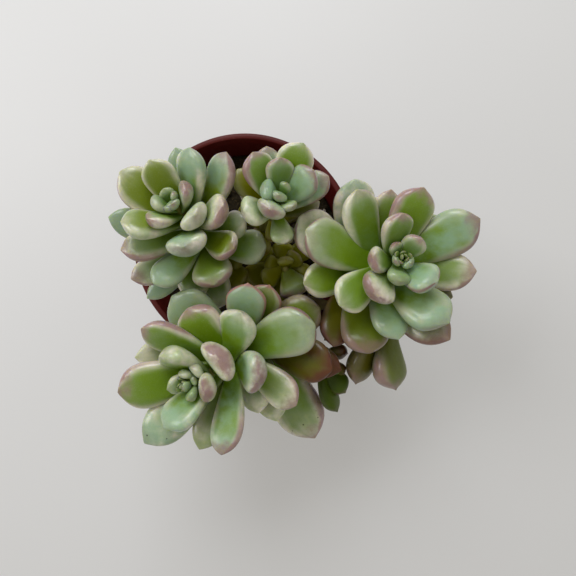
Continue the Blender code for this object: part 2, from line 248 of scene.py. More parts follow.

# Each stem, in millimetres: its foot, a point above the foot, a point below the rosette and the
# growing tip; for some, how many tiny leaves close the tip and how shaded the stem is; and which
# leaves the photograph shows in each tone. Each leaf, youngest first: its tip's bearing in degrees
# from +X towards +Y, its tip's reach and rise from the growing tip, its width, and for some how
# far down the stem it springs.
#
# The tones: vivid, a wide green heart; pale, mostly margin; bright, fresh though low; mint,
# blue-green wax; mauve, a mauve margin and tip; rimmed, a crisp mauve rim; ruddy, brown-red;
# specked, dark dots; dusky, olive and dark, in the shade, which is painted shade; olive, an old
# leaf's olive that is partly painted shade; dark, painted deep shade; left and right, the side
# with more mauve; misty, grey-green; hidden, among the stems, with a painted yellow-green glow
# that stands in for bounced light; sunny, a little of that painted glow; pointed, a drawn-out
# pink tip.
STEMS = {
    "leafy_stem_back_left": {
        "foot": (-7, -6), "above_foot": (-6, -7, 68),
        "below_tip": (-8.7, -2, 81.5), "tip": (-16.2, 8, 97),
        "tones": {
            "vivid": (8, 9, 13, 16), "pale": (7, 11, 21, 24), "bright": range(22, 27),
            "misty": (17, 18, 20, 21, 23, 24), "hidden": range(27, 31),
            "sunny": (8, 9, 13, 14, 16), "mint": (10, 12, 14, 17, 18, 21, 24),
            "rimmed": (13, 15), "ruddy": (29,), "mauve": (5, 6, 11, 14, 15, 16, 20, 22),
            "left": (15,), "right": (10, 14),
        },
        "leaves": [
            (-54, 1.6, 2.5, 4.4), (60, 1.8, 2.4, 3.2), (-122, 2.6, 2.2, 3.4), (119, 3.2, 1.5, 4.4),
            (178, 4.2, 2.6, 5.8), (44, 5.4, 3.0, 7.2), (-136, 7.2, 3.0, 7.8), (-31, 8.2, 3.8, 9.4),
            (116, 10.8, 3, 9.6), (-156, 14, 0.5, 10.6), (68, 14.2, 2, 10), (-5, 14, 1.5, 10.4),
            (-73, 12.8, 2, 12), (150, 15.7, -1, 11.8), (41, 19.3, 0, 9.6), (-140, 19.5, -5, 9.5),
            (-37, 20, -4, 9.5), (90, 15.5, -5, 9), (-106, 22.6, -6, 9.5), (-10, 19, -8, 8.5),
            (-65, 24, -7, 12.4), (-170, 19, -6, 9.5), (-126, 25, -12, 9), (-24, 26.5, -12, 11),
            (-116, 29, -20, 7), (-91, 25.5, -18, 10.6), (-74, 30.5, -21.5, 9.6),
            (-39, 20.8, -22, 8, 32), (-53, 27, -24, 8, 35), (-101, 14.5, -24, 7.6, 29),
            (-12, 18, -17, 7.6, 24),
        ],
    },
    "leafy_stem_back": {
        "foot": (4, 5), "above_foot": (5, 4, 68),
        "below_tip": (10.3, 3.6, 81.5), "tip": (12.8, 10.1, 97),
        "tones": {
            "vivid": (0, 1, 5, 7, 8), "pale": (3, 4, 6, 9, 10, 12, 16, 17), "mint": (2, 6, 11, 12),
            "mauve": (4, 5, 6, 7, 11, 12), "rimmed": (7, 12), "ruddy": (15, 18, 19),
            "left": (7,), "misty": (2, 6), "hidden": (14, 15, 17, 18),
        },
        "leaves": [
            (-114, 1.2, 2.5, 4.6), (55, 2.4, 2, 3.6), (163, 4.3, 2.5, 6.7), (-50, 4.9, 2, 4.6),
            (-120, 5.6, 3, 8.4), (91, 8.5, 2.5, 8), (33, 9.9, 2, 9.4), (126, 12.6, 1, 9.8),
            (66, 14.1, 0, 10.5), (-154, 10.8, 0, 9.2), (-87, 12.7, -5, 6.8), (107, 14, -4, 8),
            (23, 13.8, -4, 8.6), (2, 11, -14, 6.5), (147, 14.7, -7, 8.4), (-98, 11.5, -15, 6.2),
            (-76, 11.8, -13, 6.2), (-178, 13, -19, 7.6, 27), (-119, 16.5, -20, 8, 27),
            (20, 9, -20, 7.6, 28),
        ],
    },
    "leafy_stem_right": {
        "foot": (17, -9), "above_foot": (22, -10, 69),
        "below_tip": (42.5, -12.5, 73), "tip": (44.8, -7.2, 96),
        "apex_leaves": 7,
        "tones": {
            "vivid": (7, 9, 10, 14, 17, 24), "pale": (3, 8, 13, 20, 21),
            "mint": (6, 11, 13, 16, 21), "mauve": (2, 4, 5, 7, 8, 9, 11, 15, 18, 22, 24, 25),
            "rimmed": (6, 9, 12, 20, 22), "ruddy": (22, *range(25, 30)),
            "olive": range(25, 30), "dusky": (23, 24), "left": (9,), "right": (11, 24, 25),
            "misty": (11, 12, 13, 16), "hidden": (26, 27),
        },
        "leaves": [
            (-165, 2.0, 1.8, 3.4), (-27, 2.1, 2, 4.2), (116, 4.4, 1.5, 4.4), (-99, 6, 2.5, 6.8),
            (48, 6.5, 3, 6.8), (178, 8.2, 3, 7.6), (-35, 10.2, 3, 10.2), (93, 11.4, 3, 9.4),
            (-128, 12, 3, 11), (73, 19.6, 0, 12.6), (-143, 20.4, -1.5, 11.4), (27, 24, -2, 13.4),
            (163, 26.4, -1, 14), (-53, 21.2, -1, 14.4), (122, 22, -2, 12), (-8, 22, -5, 11.5),
            (-89, 21.8, -5, 10.8), (-166, 26.5, -5, 10.8), (94, 19.7, -6, 9.5), (47, 17, -6, 8.5),
            (156, 29.4, -6, 14), (117, 25.2, -6, 13), (-56, 26.5, -6, 12.8), (-31, 20, -10, 9.4),
            (-105, 27, -9, 15), (-124, 30, -13, 10.5), (172, 17, -22, 8, 28),
            (-150, 18, -20, 8, 27), (60, 10, -20, 8, 24), (-30, 13, -20, 8, 23),
        ],
    },
    "leafy_stem_front_left": {
        "foot": (2, -14), "above_foot": (8, -24, 70),
        "below_tip": (5, -35, 81), "tip": (-12.2, -40.6, 95),
        "apex_leaves": 7,
        "tones": {
            "vivid": (11, 13, 14, 15, 24), "pale": (9, 16, 19, 22, 23, 27), "bright": (23, 27, 30),
            "mint": (8, 10, 12, 16, 20, 21), "mauve": (6, *range(9, 14), 15, 18, 30),
            "rimmed": (13, 17, 21, 24, 30), "ruddy": (25, 26, 28, 29, 31), "specked": (16, 30),
            "olive": (25, 31), "dusky": (26,), "left": (10, 18, 30),
            "misty": (17, 20, 21), "hidden": (28,), "pointed": (21, 24),
        },
        "leaves": [
            (40, 2.4, 1.8, 3.2), (-147, 1.4, 1.8, 3.2), (-87, 3.8, 2, 4.9), (126, 3.4, 2, 4.4),
            (70, 4.9, 3, 5.2), (-168, 5.2, 1.6, 5.6), (-20, 5.2, 3.5, 9), (130, 10.2, 3, 11.2),
            (-118, 12.7, 1, 11.2), (43, 11.3, 4, 12.8), (-66, 21.4, -2, 9.8, 16),
            (-172, 19.4, -2, 14), (5, 18.9, 1.5, 12.2, 16), (132, 19.5, -2, 10.5),
            (54, 23.6, 0, 12), (92, 19.8, -3, 14), (-127, 21.8, -5, 13), (25, 37.3, -2, 15),
            (-14, 29.9, -6, 10.8), (-85, 20, -7, 10), (105, 24, -8, 14.5), (60, 31, -6, 12.4),
            (160, 17.5, -7, 10.2), (-30, 21, -10, 9.4), (51, 34, -10, 11.6), (3, 39.3, -9, 13.5),
            (28.5, 41, -12, 13), (-31, 27.3, -14, 10.7), (60, 12.3, -23, 8, 32),
            (33, 33.8, -19, 8, 30), (-33.6, 42.6, -27, 17, 30), (1, 42.8, -15.5, 11, 28),
        ],
    },
    "leafy_stem_front_low": {
        "shade": 0.5,
        "foot": (13, -25), "above_foot": (14, -26.5, 66),
        "below_tip": (22, -33, 70), "tip": (28.3, -40, 72.5),
        "apex_leaves": 3,
        "tones": {"vivid": (3, 4), "ruddy": (0, 1, 2, 5), "olive": (0, 1, 2, 5), "dark": (3, 4)},
        "leaves": [
            (75, 2.2, 1.5, 3.6), (-110, 2.6, 1.5, 4), (-38, 5.6, -2.5, 6), (-61, 9.9, -1.5, 8.4),
            (-81.5, 14.7, -0.5, 9.2), (32, 6.8, -3, 8),
        ],
    },
    "leafy_stem_centre": {
        "shade": 0.75,
        "foot": (10, -4), "above_foot": (10, -4.5, 65),
        "below_tip": (13, -8, 71), "tip": (14, -9.2, 77),
        "tones": {"dusky": (0,), "mauve": (0,), "mint": (0,), "ruddy": (8, 9),
                  "hidden": range(1, 12)},
        "leaves": [
            (-63, 8.8, 1, 10.6), (90, 3.1, 1.5, 5.4), (47, 6.3, -2, 6.9), (-150, 8.2, -1.6, 7.1),
            (166, 6.9, -2, 7.1), (-20, 7.8, -4, 7.8), (95, 9.4, -6, 7.3), (-110, 10.5, -7, 7.7),
            (148, 13, -12, 9), (-165, 14, -13, 9), (44, 12, -12, 7.5), (-94, 11.5, -14, 7),
        ],
    },
    "leafy_stem_right_low": {
        "shade": 0.65,
        "foot": (16, -18), "above_foot": (19, -19, 71.5),
        "below_tip": (48, -25, 68), "tip": (49, -26.5, 76),
        "tones": {"mauve": (2, 3), "rimmed": (2,), "ruddy": (4,), "olive": (3, 4), "dusky": (2,),
                  "right": (2,)},
        "leaves": [
            (20, 3, 1.5, 4.2), (-150, 3.2, 0.6, 4), (-91, 20.4, -2, 15.5), (-124, 22.8, -3.5, 14),
            (-166, 23, -8, 12),
        ],
    },
}


def paint(*numbers):
    """Linear colour of an sRGB colour given as three numbers from 0 to 255."""
    shares = [number / 255.0 for number in numbers]
    return tuple(share / 12.92 if share <= 0.04045 else ((share + 0.055) / 1.055) ** 2.4
                 for share in shares)


def a_colour(name, description, *numbers):
    """A colour that the user may change, with its default in sRGB numbers."""
    return FloatVectorProperty(name=name, description=description, subtype="COLOR", size=3,
                               min=0.0, max=1.0, default=paint(*numbers))


def a_length(name, description, default, low, high):
    """A length in metres that the user may change."""
    return FloatProperty(name=name, description=description, default=default, min=low, max=high,
                         subtype="DISTANCE", unit="LENGTH")


def a_share(name, description, default, low, high):
    """A share that the user may change."""
    return FloatProperty(name=name, description=description, default=default, min=low, max=high,
                         subtype="FACTOR")


def a_power(name, description, default):
    """A lamp's power that the user may change."""
    return FloatProperty(name=name, description=description, default=default, min=0.0, max=100.0,
                         subtype="POWER", unit="POWER")


def darker(colour, share):
    """A share of a colour's light."""
    return tuple(channel * share for channel in colour)


class SedumLeafSettings(bpy.types.PropertyGroup):
    """Form and colours of the leaves and stems"""

    thickness: a_share(
        "Thickness", "Thickness of a full-grown leaf as a share of its width", 0.50, 0.2, 0.9)
    bud_thickness: a_share(
        "Bud thickness", "Thickness of the youngest leaves as a share of width", 0.56, 0.2, 1.0)
    cup: a_share("Cup", "How far a full-grown leaf's sides curl upwards", 0.05, 0.0, 0.4)
    hollow: a_share(
        "Hollow", "How far the middle of the upper face sinks below its rim", 0.24, 0.0, 1.0)
    flesh_bumps: a_length(
        "Flesh bumps", "Height of the soft unevenness of a leaf's skin", 0.00014, 0.0, 0.001)
    fresh: a_colour("Fresh green", "Green in a leaf's lower half", 96, 126, 0)
    green: a_colour("Green", "Green in the middle of a leaf", 114, 144, 20)
    misty: a_colour("Misty green", "Grey-green towards a leaf's tip", 138, 154, 112)
    # Deep green, partly the leaf's own and partly painted shade where leaves crowd the stem;
    # darkened, it is also the painted shade on the darkest leaves
    depth: a_colour("Deep green", "Green where a leaf joins its stem", 84, 112, 0)
    bud: a_colour("Bud green", "Grey-green of the youngest leaves", 94, 128, 66)
    bloom: a_colour("Bloom", "Blue-green wax on the upper face", 142, 174, 144)
    wax: a_colour("Wax", "Fine white powder on the skin", 226, 228, 218)
    cream: a_colour("Cream", "Pale margin and tip", 234, 224, 208)
    pale: a_colour("Pale green", "Greener part of the margin", 156, 180, 122)
    blush: a_colour("Blush", "Mauve on the margins and tips", 146, 106, 108)
    # Olive of old leaves, partly real age and partly painted shade on the low, shaded ones
    old_and_shaded: a_colour("Old leaf", "Olive of the lowest, shaded leaves", 92, 84, 0)
    # Painted glow: a yellow-green that stands in for light bounced among the stems
    painted_glow: a_colour("Moss green", "Yellow-green of leaves among the stems", 134, 134, 4)
    ruddy: a_colour("Ruddy", "Brown-red flush of sunburnt leaves", 96, 46, 28)
    rosy: a_colour("Rosy", "Pink of the drawn-out tips", 196, 112, 104)
    speck: a_colour("Speck", "Dark specks on a few leaves", 54, 44, 34)
    stem: a_colour("Stem", "Young stem", 116, 112, 44)
    bark: a_colour("Bark", "Old stem near the soil", 92, 72, 46)


class SedumPotSettings(bpy.types.PropertyGroup):
    """Sizes and colours of the nursery pot"""

    height: a_length("Height", "Height of the pot", POT_HIGH[2], 0.03, 0.2)
    rim_radius: a_length("Rim radius", "Outer radius of the rim", POT_HIGH[0], 0.02, 0.1)
    lip_width: a_length(
        "Lip width", "Width of the rolled rim seen from above", 0.0021, 0.0015, 0.01)
    lip_drop: a_length("Lip drop", "Height of the rim's outer band", 0.0042, 0.002, 0.02)
    wall: a_length("Wall", "Thickness of the pot's wall", 0.0012, 0.0006, 0.004)
    plastic: a_colour("Plastic", "Dark red plastic of the pot", 90, 16, 11)
    dust: a_colour("Dust", "Dust and scuffs on the plastic", 150, 120, 108)


class SedumSoilSettings(bpy.types.PropertyGroup):
    """Soil, crumbs and grit"""

    crumbs: IntProperty(name="Crumbs", description="How many loose crumbs lie on the soil",
                        default=520, min=0, max=2000)
    grit: IntProperty(name="Grit", description="How many pale grains lie among the crumbs",
                      default=36, min=0, max=400)
    soil: a_colour("Soil", "Damp potting soil", 42, 33, 10)
    fibre: a_colour("Fibre", "Lighter fibres in the soil", 112, 88, 62)
    grain: a_colour("Grain", "Pale mineral grains", 168, 158, 140)


class SedumStageSettings(bpy.types.PropertyGroup):
    """Camera, floor and lights"""

    lens: FloatProperty(name="Lens", description="Focal length of the camera, in millimetres",
                        default=27.0, min=10.0, max=200.0, subtype="DISTANCE_CAMERA")
    key_power: a_power("Key power", "Power of the lamp behind the pot", 4.6)
    side_power: a_power("Side power", "Power of the lamp on the left", 3.2)
    sky_strength: FloatProperty(name="Sky", description="Brightness of the light all round",
                                default=0.42, min=0.0, max=5.0)
    floor: a_colour("Floor", "Plain pale table top", 224, 223, 222)


class Wire:
    """One shader output, which adds, subtracts and multiplies like a number."""

    def __init__(self, recipe, socket):
        self.recipe = recipe
        self.socket = socket

    def reckon(self, operation, first, second):
        """One Math node."""
        return self.recipe.node("ShaderNodeMath", {"operation": operation}, {0: first, 1: second})

    def __add__(self, other):
        return self.reckon("ADD", self, other)

    def __radd__(self, other):
        return self.reckon("ADD", other, self)

    def __sub__(self, other):
        return self.reckon("SUBTRACT", self, other)

    def __rsub__(self, other):
        return self.reckon("SUBTRACT", other, self)

    def __mul__(self, other):
        return self.reckon("MULTIPLY", self, other)

    def __rmul__(self, other):
        return self.reckon("MULTIPLY", other, self)

    def __abs__(self):
        return self.reckon("ABSOLUTE", self, 0.0)


class Recipe:
    """The node tree of one material."""

    def __init__(self, name):
        self.material = bpy.data.materials.new(name)
        self.material.use_nodes = True
        self.tree = self.material.node_tree
        self.shader = self.tree.nodes["Principled BSDF"]

    def fill(self, socket, value):
        """Give a socket its value or its link."""
        if isinstance(value, Wire):
            self.tree.links.new(value.socket, socket)
        elif socket.type == "RGBA" and len(value) == 3:
            socket.default_value = (*value, 1.0)
        else:
            socket.default_value = value

    def node(self, kind, settings=None, values=None, output=0):
        """Any node: its settings first, then its sockets' values or links."""
        made = self.tree.nodes.new(kind)
        for name, value in (settings or {}).items():
            setattr(made, name, value)
        for name, value in (values or {}).items():
            self.fill(made.inputs[name], value)
        return Wire(self, made.outputs[output])

    def attribute(self, name):
        """The three numbers of a mesh attribute."""
        return self.split(self.node("ShaderNodeAttribute", {"attribute_name": name},
                                    output="Vector"))

    def split(self, vector):
        """The three numbers of a vector."""
        first = self.node("ShaderNodeSeparateXYZ", None, {"Vector": vector})
        return [Wire(self, output) for output in first.socket.node.outputs]

    def join(self, x, y, z):
        """A vector of three numbers."""
        return self.node("ShaderNodeCombineXYZ", None, {"X": x, "Y": y, "Z": z})

    def place(self):
        """Position on the object, in metres."""
        return self.node("ShaderNodeTexCoord", output="Object")

    def noise(self, vector, scale, detail=2.0, roughness=0.5):
        """Soft noise from 0 to 1."""
        return self.node("ShaderNodeTexNoise", None, {
            "Vector": vector, "Scale": scale, "Detail": detail, "Roughness": roughness})

    def cells(self, vector, scale):
        """Distance from the middle of the nearest cell, in cells."""
        return self.node("ShaderNodeTexVoronoi", None, {"Vector": vector, "Scale": scale})

    def ease(self, value, low, high, start=0.0, end=1.0):
        """Smooth step from start to end while the value goes from low to high."""
        return self.node("ShaderNodeMapRange", {"interpolation_type": "SMOOTHSTEP"}, {
            "Value": value, "From Min": low, "From Max": high, "To Min": start, "To Max": end})

    def mix(self, share, first, second):
        """Colour between two colours."""
        return self.node("ShaderNodeMix", {"data_type": "RGBA"}, {
            0: share, 6: first, 7: second}, output=2)

    def bump(self, height, distance):
        """Bump of a height from 0 to 1, the distance high where it is 1."""
        return self.node("ShaderNodeBump", None, {"Height": height, "Distance": distance})

    def finish(self, values):
        """Set or link the shader's sockets, and give the material."""
        for name, value in values.items():
            self.fill(self.shader.inputs[name], value)
        return self.material


def leaf_skin(looks):
    """Waxy variegated skin: green heart, cream margin, mauve tip and blue-green bloom."""
    r = Recipe("leaf_skin")
    (across, face, along, age_and_shade, chance, deep, mint, ruddy, pink,
     rimmed, lean, specked, hazy, hidden, pointed) = (
        number for layer in LAYERS for number in r.attribute(layer))
    spot = r.place()
    cloud = r.noise(spot, LEAF_CLOUDS) - 0.5
    patch = r.noise(spot, LEAF_PATCHES, 3.0, 0.6) - 0.5
    grain = r.noise(spot, LEAF_GRAIN, 3.0, 0.6)
    grown = r.join(across * 2.6 + chance * 50.0, face * 2.2, along * 0.9)
    streak = r.noise(grown, 1.6) - 0.5
    rim = abs(across)
    young = r.ease(0.0 - age_and_shade, 0.0, 1.0)
    topside = r.ease(face, -0.25, 0.30)

    # The green heart, widest near the root and on the upper face
    inner = rim + cloud * 0.34 + streak * 0.16 - deep * 0.18
    middle = 1.0 - r.ease(inner, 0.22, 0.94)
    ending = r.ease(along + cloud * 0.45 + streak * 0.12 - deep * 0.22, 0.52, 1.0)
    heart = middle * (1.0 - ending * 0.80) * (0.45 + topside * 0.55)
    root = 1.0 - r.ease(along + cloud * 0.2, 0.20, 0.62)

    # Its greens, from the root to the tip
    lush = r.mix(r.ease(along + patch * 0.2 + chance * 0.15 - deep * 0.2, 0.02, 0.58),
                 looks.fresh, looks.green)
    dew = r.ease(along + cloud * 0.4 + patch * 0.15 - deep * 0.34, 0.30, 0.88)
    lush = r.mix(dew * 0.85, lush, looks.misty)
    # Painted glow of bounced light on leaves among the stems, and a little on sunny ones
    lush = r.mix(hidden * 0.8, lush, looks.painted_glow)
    hidden = r.ease(hidden, 0.5, 1.0)

    # The cream margin round it, then the youngest leaves and the wax
    margin = r.mix(r.ease(patch * 0.6 + cloud - deep * 0.1, -0.28, 0.32), looks.cream, looks.pale)
    margin = r.mix(hazy * 0.65, margin, looks.misty)
    skin = r.mix(r.ease(heart + root * 0.55, 0.0, 1.0), margin, lush)
    # Deep green at the root: partly the leaf's own, partly painted shade where leaves crowd the
    # stem
    skin = r.mix(root * (1.0 - rim * 0.4) * 0.75, skin, looks.depth)
    skin = r.mix(young * 0.75, skin, looks.bud)
    waxy = r.ease(cloud + patch * 0.6 + along * 0.5 - rim * 0.12, -0.04, 0.55) * mint
    skin = r.mix(waxy * 0.75, skin, looks.bloom)

    # Where mauve flushes the tip, the keel and the margins, on one side more than the other
    tip = r.ease(along + patch * 0.20 + cloud * 0.3 + pink * 0.04, 0.84, 1.05)
    keel = r.ease(0.0 - face + cloud * 0.3, 0.25, 1.20) * r.ease(along + cloud * 0.2, 0.52, 1.05)
    edge = r.ease(rim + across * lean * 0.16 + patch * 0.15 + cloud * 0.25, 0.74, 1.12)
    edge = edge * r.ease(along, 0.30, 0.80)
    line = r.ease(rim + pointed * 0.05, 0.90, 1.0) * r.ease(along, 0.35, 0.7)
    line = line + r.ease(along, 0.955, 0.99) * pointed * 0.8
    flush = tip * (0.24 + pink * 0.5) + edge * pink * (0.76 - young * 0.45)
    flush = flush + line * rimmed * 0.8 + keel * (0.18 + pink * 0.40)

    # Painted shade on leaves in shadow, olive that is partly real age and partly painted shade on
    # old ones, and a painted glow of bounced light on those among the stems
    # Painted shade: leaves with a deep past 1.7 darken towards a dim deep green
    painted_shade = r.ease(deep, 1.7, 2.3) * (1.0 - young)
    skin = r.mix(painted_shade * 0.94, skin, darker(looks.depth, 0.55))
    # Painted shade with real age: olive over old leaves and over those on shaded stems
    shaded = r.ease(age_and_shade + cloud * 0.3, 0.10, 0.85)
    skin = r.mix(shaded * 0.90, skin, looks.old_and_shaded)
    # Painted glow of bounced light over the leaves among the stems
    skin = r.mix(hidden * (0.9 - rim * 0.2), skin, looks.painted_glow)

    # The flush, the brown-red of sunburn, the dark dots and the fine white powder
    flush = r.ease(flush, 0.0, 1.0, 0.0, 0.85) * (1.0 - shaded * 0.35)
    skin = r.mix(flush, skin, r.mix(pointed * 0.4, looks.blush, looks.rosy))
    warm = r.ease(along * 0.7 + rim * 0.3 + cloud * 1.2, 0.52, 0.98) * ruddy
    skin = r.mix(warm * 0.85, skin, looks.ruddy)
    dots = r.cells(spot, LEAF_DOTS)
    fleck = (1.0 - r.ease(dots + rim * 0.05, 0.08, 0.16)) * specked * r.ease(along, 0.35, 0.7)
    skin = r.mix(fleck * 0.85, skin, looks.speck)
    frost = r.noise(spot, LEAF_FROST, 2.0, 0.7)
    # The white powder stays off leaves with painted shade or painted glow
    free_of_painted_light = (1.0 - shaded) * (1.0 - painted_shade) * (1.0 - hidden)
    skin = r.mix(r.ease(frost, 0.50, 0.85) * 0.14 * along * free_of_painted_light, skin, looks.wax)

    sheen = r.ease(along * 0.6 + rim * 0.5, 0.40, 0.95) * (1.0 - shaded * 0.6) * (1.0 - painted_shade)
    return r.finish({
        "Base Color": skin,
        "Roughness": 0.36 + grain * 0.10 + waxy * 0.10,
        "Specular IOR Level": 0.22,
        "Coat Weight": 0.04 + sheen * 0.9,
        "Coat Roughness": 0.20,
        "Subsurface Weight": FLESH_GLOW,
        "Subsurface Radius": FLESH_REACH,
        "Subsurface Scale": FLESH_DEPTH,
        "Normal": r.bump(grain * 0.2 + patch * 0.8, LEAF_BUMP),
    })


def stem_skin(looks):
    """Stem: pale olive above, corky brown near the soil."""
    r = Recipe("stem_skin")
    spot = r.place()
    height = r.split(spot)[2]
    patch = r.noise(spot, STEM_PATCHES, 4.0, 0.6)
    cork = r.ease(CORK_TOP - height + (patch - 0.5) * 0.02, 0.0, CORK_RUN)
    return r.finish({
        "Base Color": r.mix(cork, looks.stem, looks.bark),
        "Roughness": 0.55 + cork * 0.3,
        "Normal": r.bump(patch, STEM_BUMP),
    })


def pot_plastic(looks):
    """Moulded dark red plastic, faintly scuffed, with dust where it was handled."""
    r = Recipe("pot_plastic")
    spot = r.place()
    cloud = r.noise(spot, POT_CLOUDS, 3.0, 0.55)
    fine = r.noise(spot, POT_GRAIN, 3.0, 0.6)
    x, y, z = r.split(spot)
    marks = r.join(x * POT_DRAG_ROUND, y * POT_DRAG_ROUND, z * POT_DRAG_UP)
    drag = r.noise(marks, 1.0)
    scuff = r.ease(drag + cloud * 0.4, 0.86, 0.98)
    dust = r.ease(cloud, 0.45, 0.8) * 0.03
    tone = r.mix(cloud, darker(looks.plastic, 0.6), looks.plastic)
    tone = r.mix(scuff * 0.10 + dust, tone, looks.dust)
    return r.finish({
        "Base Color": tone,
        "Roughness": 0.42 + fine * 0.12 + scuff * 0.2,
        "Specular IOR Level": 0.26,
        "Normal": r.bump(fine, POT_BUMP),
    })


def damp_soil(looks):
    """Damp potting soil, with lighter fibres and dark peat."""
    r = Recipe("damp_soil")
    spot = r.place()
    crumb = r.cells(spot, SOIL_CRUMBS)
    fleck = r.noise(spot, SOIL_FIBRES, 3.0, 0.65)
    patch = r.noise(spot, SOIL_PATCHES)
    tone = r.mix(r.ease(fleck, 0.35, 0.75), darker(looks.soil, 0.35), looks.soil)
    tone = r.mix(r.ease(fleck + patch * 0.3, 0.80, 0.95), tone, looks.fibre)
    return r.finish({
        "Base Color": tone,
        "Roughness": 0.9,
        "Specular IOR Level": 0.2,
        "Normal": r.bump(crumb * 0.6 + fleck * 0.6, SOIL_BUMP),
    })


def pale_grain(looks):
    """Pale mineral grit with soil dust in its pores."""
    r = Recipe("pale_grain")
    pore = r.noise(r.place(), GRIT_PORES, 3.0, 0.6)
    return r.finish({
        "Base Color": r.mix(r.ease(pore, 0.35, 0.6), darker(looks.grain, 0.4), looks.grain),
        "Roughness": 0.85,
        "Normal": r.bump(pore, GRIT_BUMP),
    })


def table_top(looks):
    """Plain pale table top."""
    r = Recipe("table_top")
    cloud = r.noise(r.place(), FLOOR_CLOUDS, 3.0)
    tone = r.mix(cloud, darker(looks.floor, 0.95), looks.floor)
    return r.finish({"Base Color": tone, "Roughness": 0.55})


def add_piece(bm, name, materials, levels=0):
    """Turn a bmesh into a smooth-shaded object at the origin."""
    for face in bm.faces:
        face.smooth = True
    mesh = bpy.data.meshes.new(name)
    bm.to_mesh(mesh)
    bm.free()
    piece = bpy.data.objects.new(name, mesh)
    bpy.context.scene.collection.objects.link(piece)
    for material in materials:
        mesh.materials.append(material)
    if levels:
        smoother = piece.modifiers.new("Subdivision", "SUBSURF")
        smoother.levels = levels
        smoother.render_levels = levels
    return piece


def stem_point(stem, share):
    """Point on a stem's free curve, from the soil to the growing tip."""
    start = Vector((*stem["foot"], STEM_BEND_Z / MM))
    first, second, end = (Vector(stem[name]) for name in ("above_foot", "below_tip", "tip"))
    rest = 1.0 - share
    point = start * rest ** 3 + first * (3.0 * rest * rest * share)
    point += second * (3.0 * rest * share * share) + end * share ** 3
    return point * MM


def stem_path(stem):
    """Points along the free curve, with the length run to each."""
    points = [stem_point(stem, index / STEM_STEPS) for index in range(STEM_STEPS + 1)]
    runs = [0.0]
    for near, far in zip(points, points[1:]):
        runs.append(runs[-1] + (far - near).length)
    return points, runs


def point_below_tip(path, distance):
    """Point on the stem a distance below its tip, and the way the stem grows there."""
    points, runs = path
    target = max(runs[-1] - distance, 0.0)
    index = 0
    while index < len(runs) - 2 and runs[index + 1] < target:
        index += 1
    share = (target - runs[index]) / (runs[index + 1] - runs[index])
    near, far = points[index], points[index + 1]
    return near.lerp(far, share), (far - near).normalized()


def leaf_width(share, point):
    """Half-outline of a leaf from 0 at its root to 1 at its tip, as a share of its width."""
    rise = min(share / LEAF_WIDEST, 1.0)
    swell = LEAF_NECK + (1.0 - LEAF_NECK) * rise * rise * (3.0 - 2.0 * rise)
    past = max((share - LEAF_WIDEST) / (1.0 - LEAF_WIDEST), 0.0)
    blunt = max(1.0 - past ** LEAF_BLUNT, 0.0) ** point
    return swell * blunt * max(1.0 - (1.0 - share) ** ROOT_ROUND, 0.0) ** 0.5


def leaf_facing(growth, drop):
    """Way that a leaf's upper face looks: along the stem near its tip, more upright below."""
    share = min(max((drop - UPRIGHT_START) / UPRIGHT_RUN, 0.0), UPRIGHT_MOST)
    return growth.lerp(UP, share)


def ease_number(value, low, high):
    """Smooth step from 0 to 1."""
    share = min(max((value - low) / (high - low), 0.0), 1.0)
    return share * share * (3.0 - 2.0 * share)


def grow_leaf(bm, layers, form, tones, looks):
    """Add one fleshy leaf: a sphere drawn out from root to tip, flatter above, full below."""
    root, growth, tip, width, youth = form
    kind, _, _, haze = tones
    thickness = looks.thickness + (looks.bud_thickness - looks.thickness) * youth
    over = LEAF_CROWN + BUD_CROWN * youth
    under = 2.0 - over
    cup = looks.cup * (1.0 - youth)
    bow = LEAF_BOW + BUD_BOW * youth
    chord = tip - root
    across = chord.cross(growth).normalized()
    upward = across.cross(chord).normalized()
    middle = root + chord * 0.5 - upward * (bow * chord.length)
    middle += across * (chord.length * SIDE_BOW * (kind.y - 0.5))
    point = TIP_POINT + TIP_CHANCE * kind.y + BUD_POINT * youth + DRAWN_POINT * haze.z
    made = bmesh.ops.create_uvsphere(bm, u_segments=LEAF_SEGMENTS, v_segments=LEAF_SEGMENTS,
                                     radius=1.0)
    for vert in made["verts"]:
        share = (1.0 + vert.co.z) / 2.0
        ring = math.hypot(vert.co.x, vert.co.y)
        side, height = (vert.co.x / ring, vert.co.y / ring) if ring > POLE else (0.0, 0.0)
        rest = 1.0 - share
        spine = root * (rest * rest) + middle * (2.0 * share * rest) + tip * (share * share)
        run = ((middle - root) * rest + (tip - middle) * share).normalized()
        lift = across.cross(run)
        half = 0.5 * width * leaf_width(share, point)
        reach = math.copysign(abs(side) ** RIM_SQUARE, side)
        depth = half * thickness * abs(height) ** RIM_FULL
        if height > 0.0:
            dip = max(1.0 - (side / HOLLOW_WIDTH) ** 2, 0.0) ** 2 * (1.0 - BUD_FILL * youth)
            dip *= 1.0 - HOLLOW_FADE * ease_number(share, *HOLLOW_END)
            depth *= over * (1.0 - looks.hollow * dip)
        else:
            keel = (KEEL + BUD_KEEL * youth) * ease_number(share, *KEEL_START)
            depth *= -under * (1.0 + keel * (1.0 - abs(side)) ** 2)
        bend = cup * half * (side * side - CUP_MIDDLE) if ring > POLE else 0.0
        for layer, value in zip(layers, (Vector((side, height, share)), *tones)):
            vert[layer] = value
        vert.co = spine - across * (half * reach) + lift * (depth + bend)
        if share > 1.0 - POLE:
            vert.co += run * (TIP_PUSH * width)
        bumps = noise.noise(vert.co * FLESH_BUMPS)
        bumps += FINER * noise.noise(vert.co * FINE_FLESH_BUMPS)
        vert.co += lift * (bumps * looks.flesh_bumps * ease_number(share, *BUMP_START))


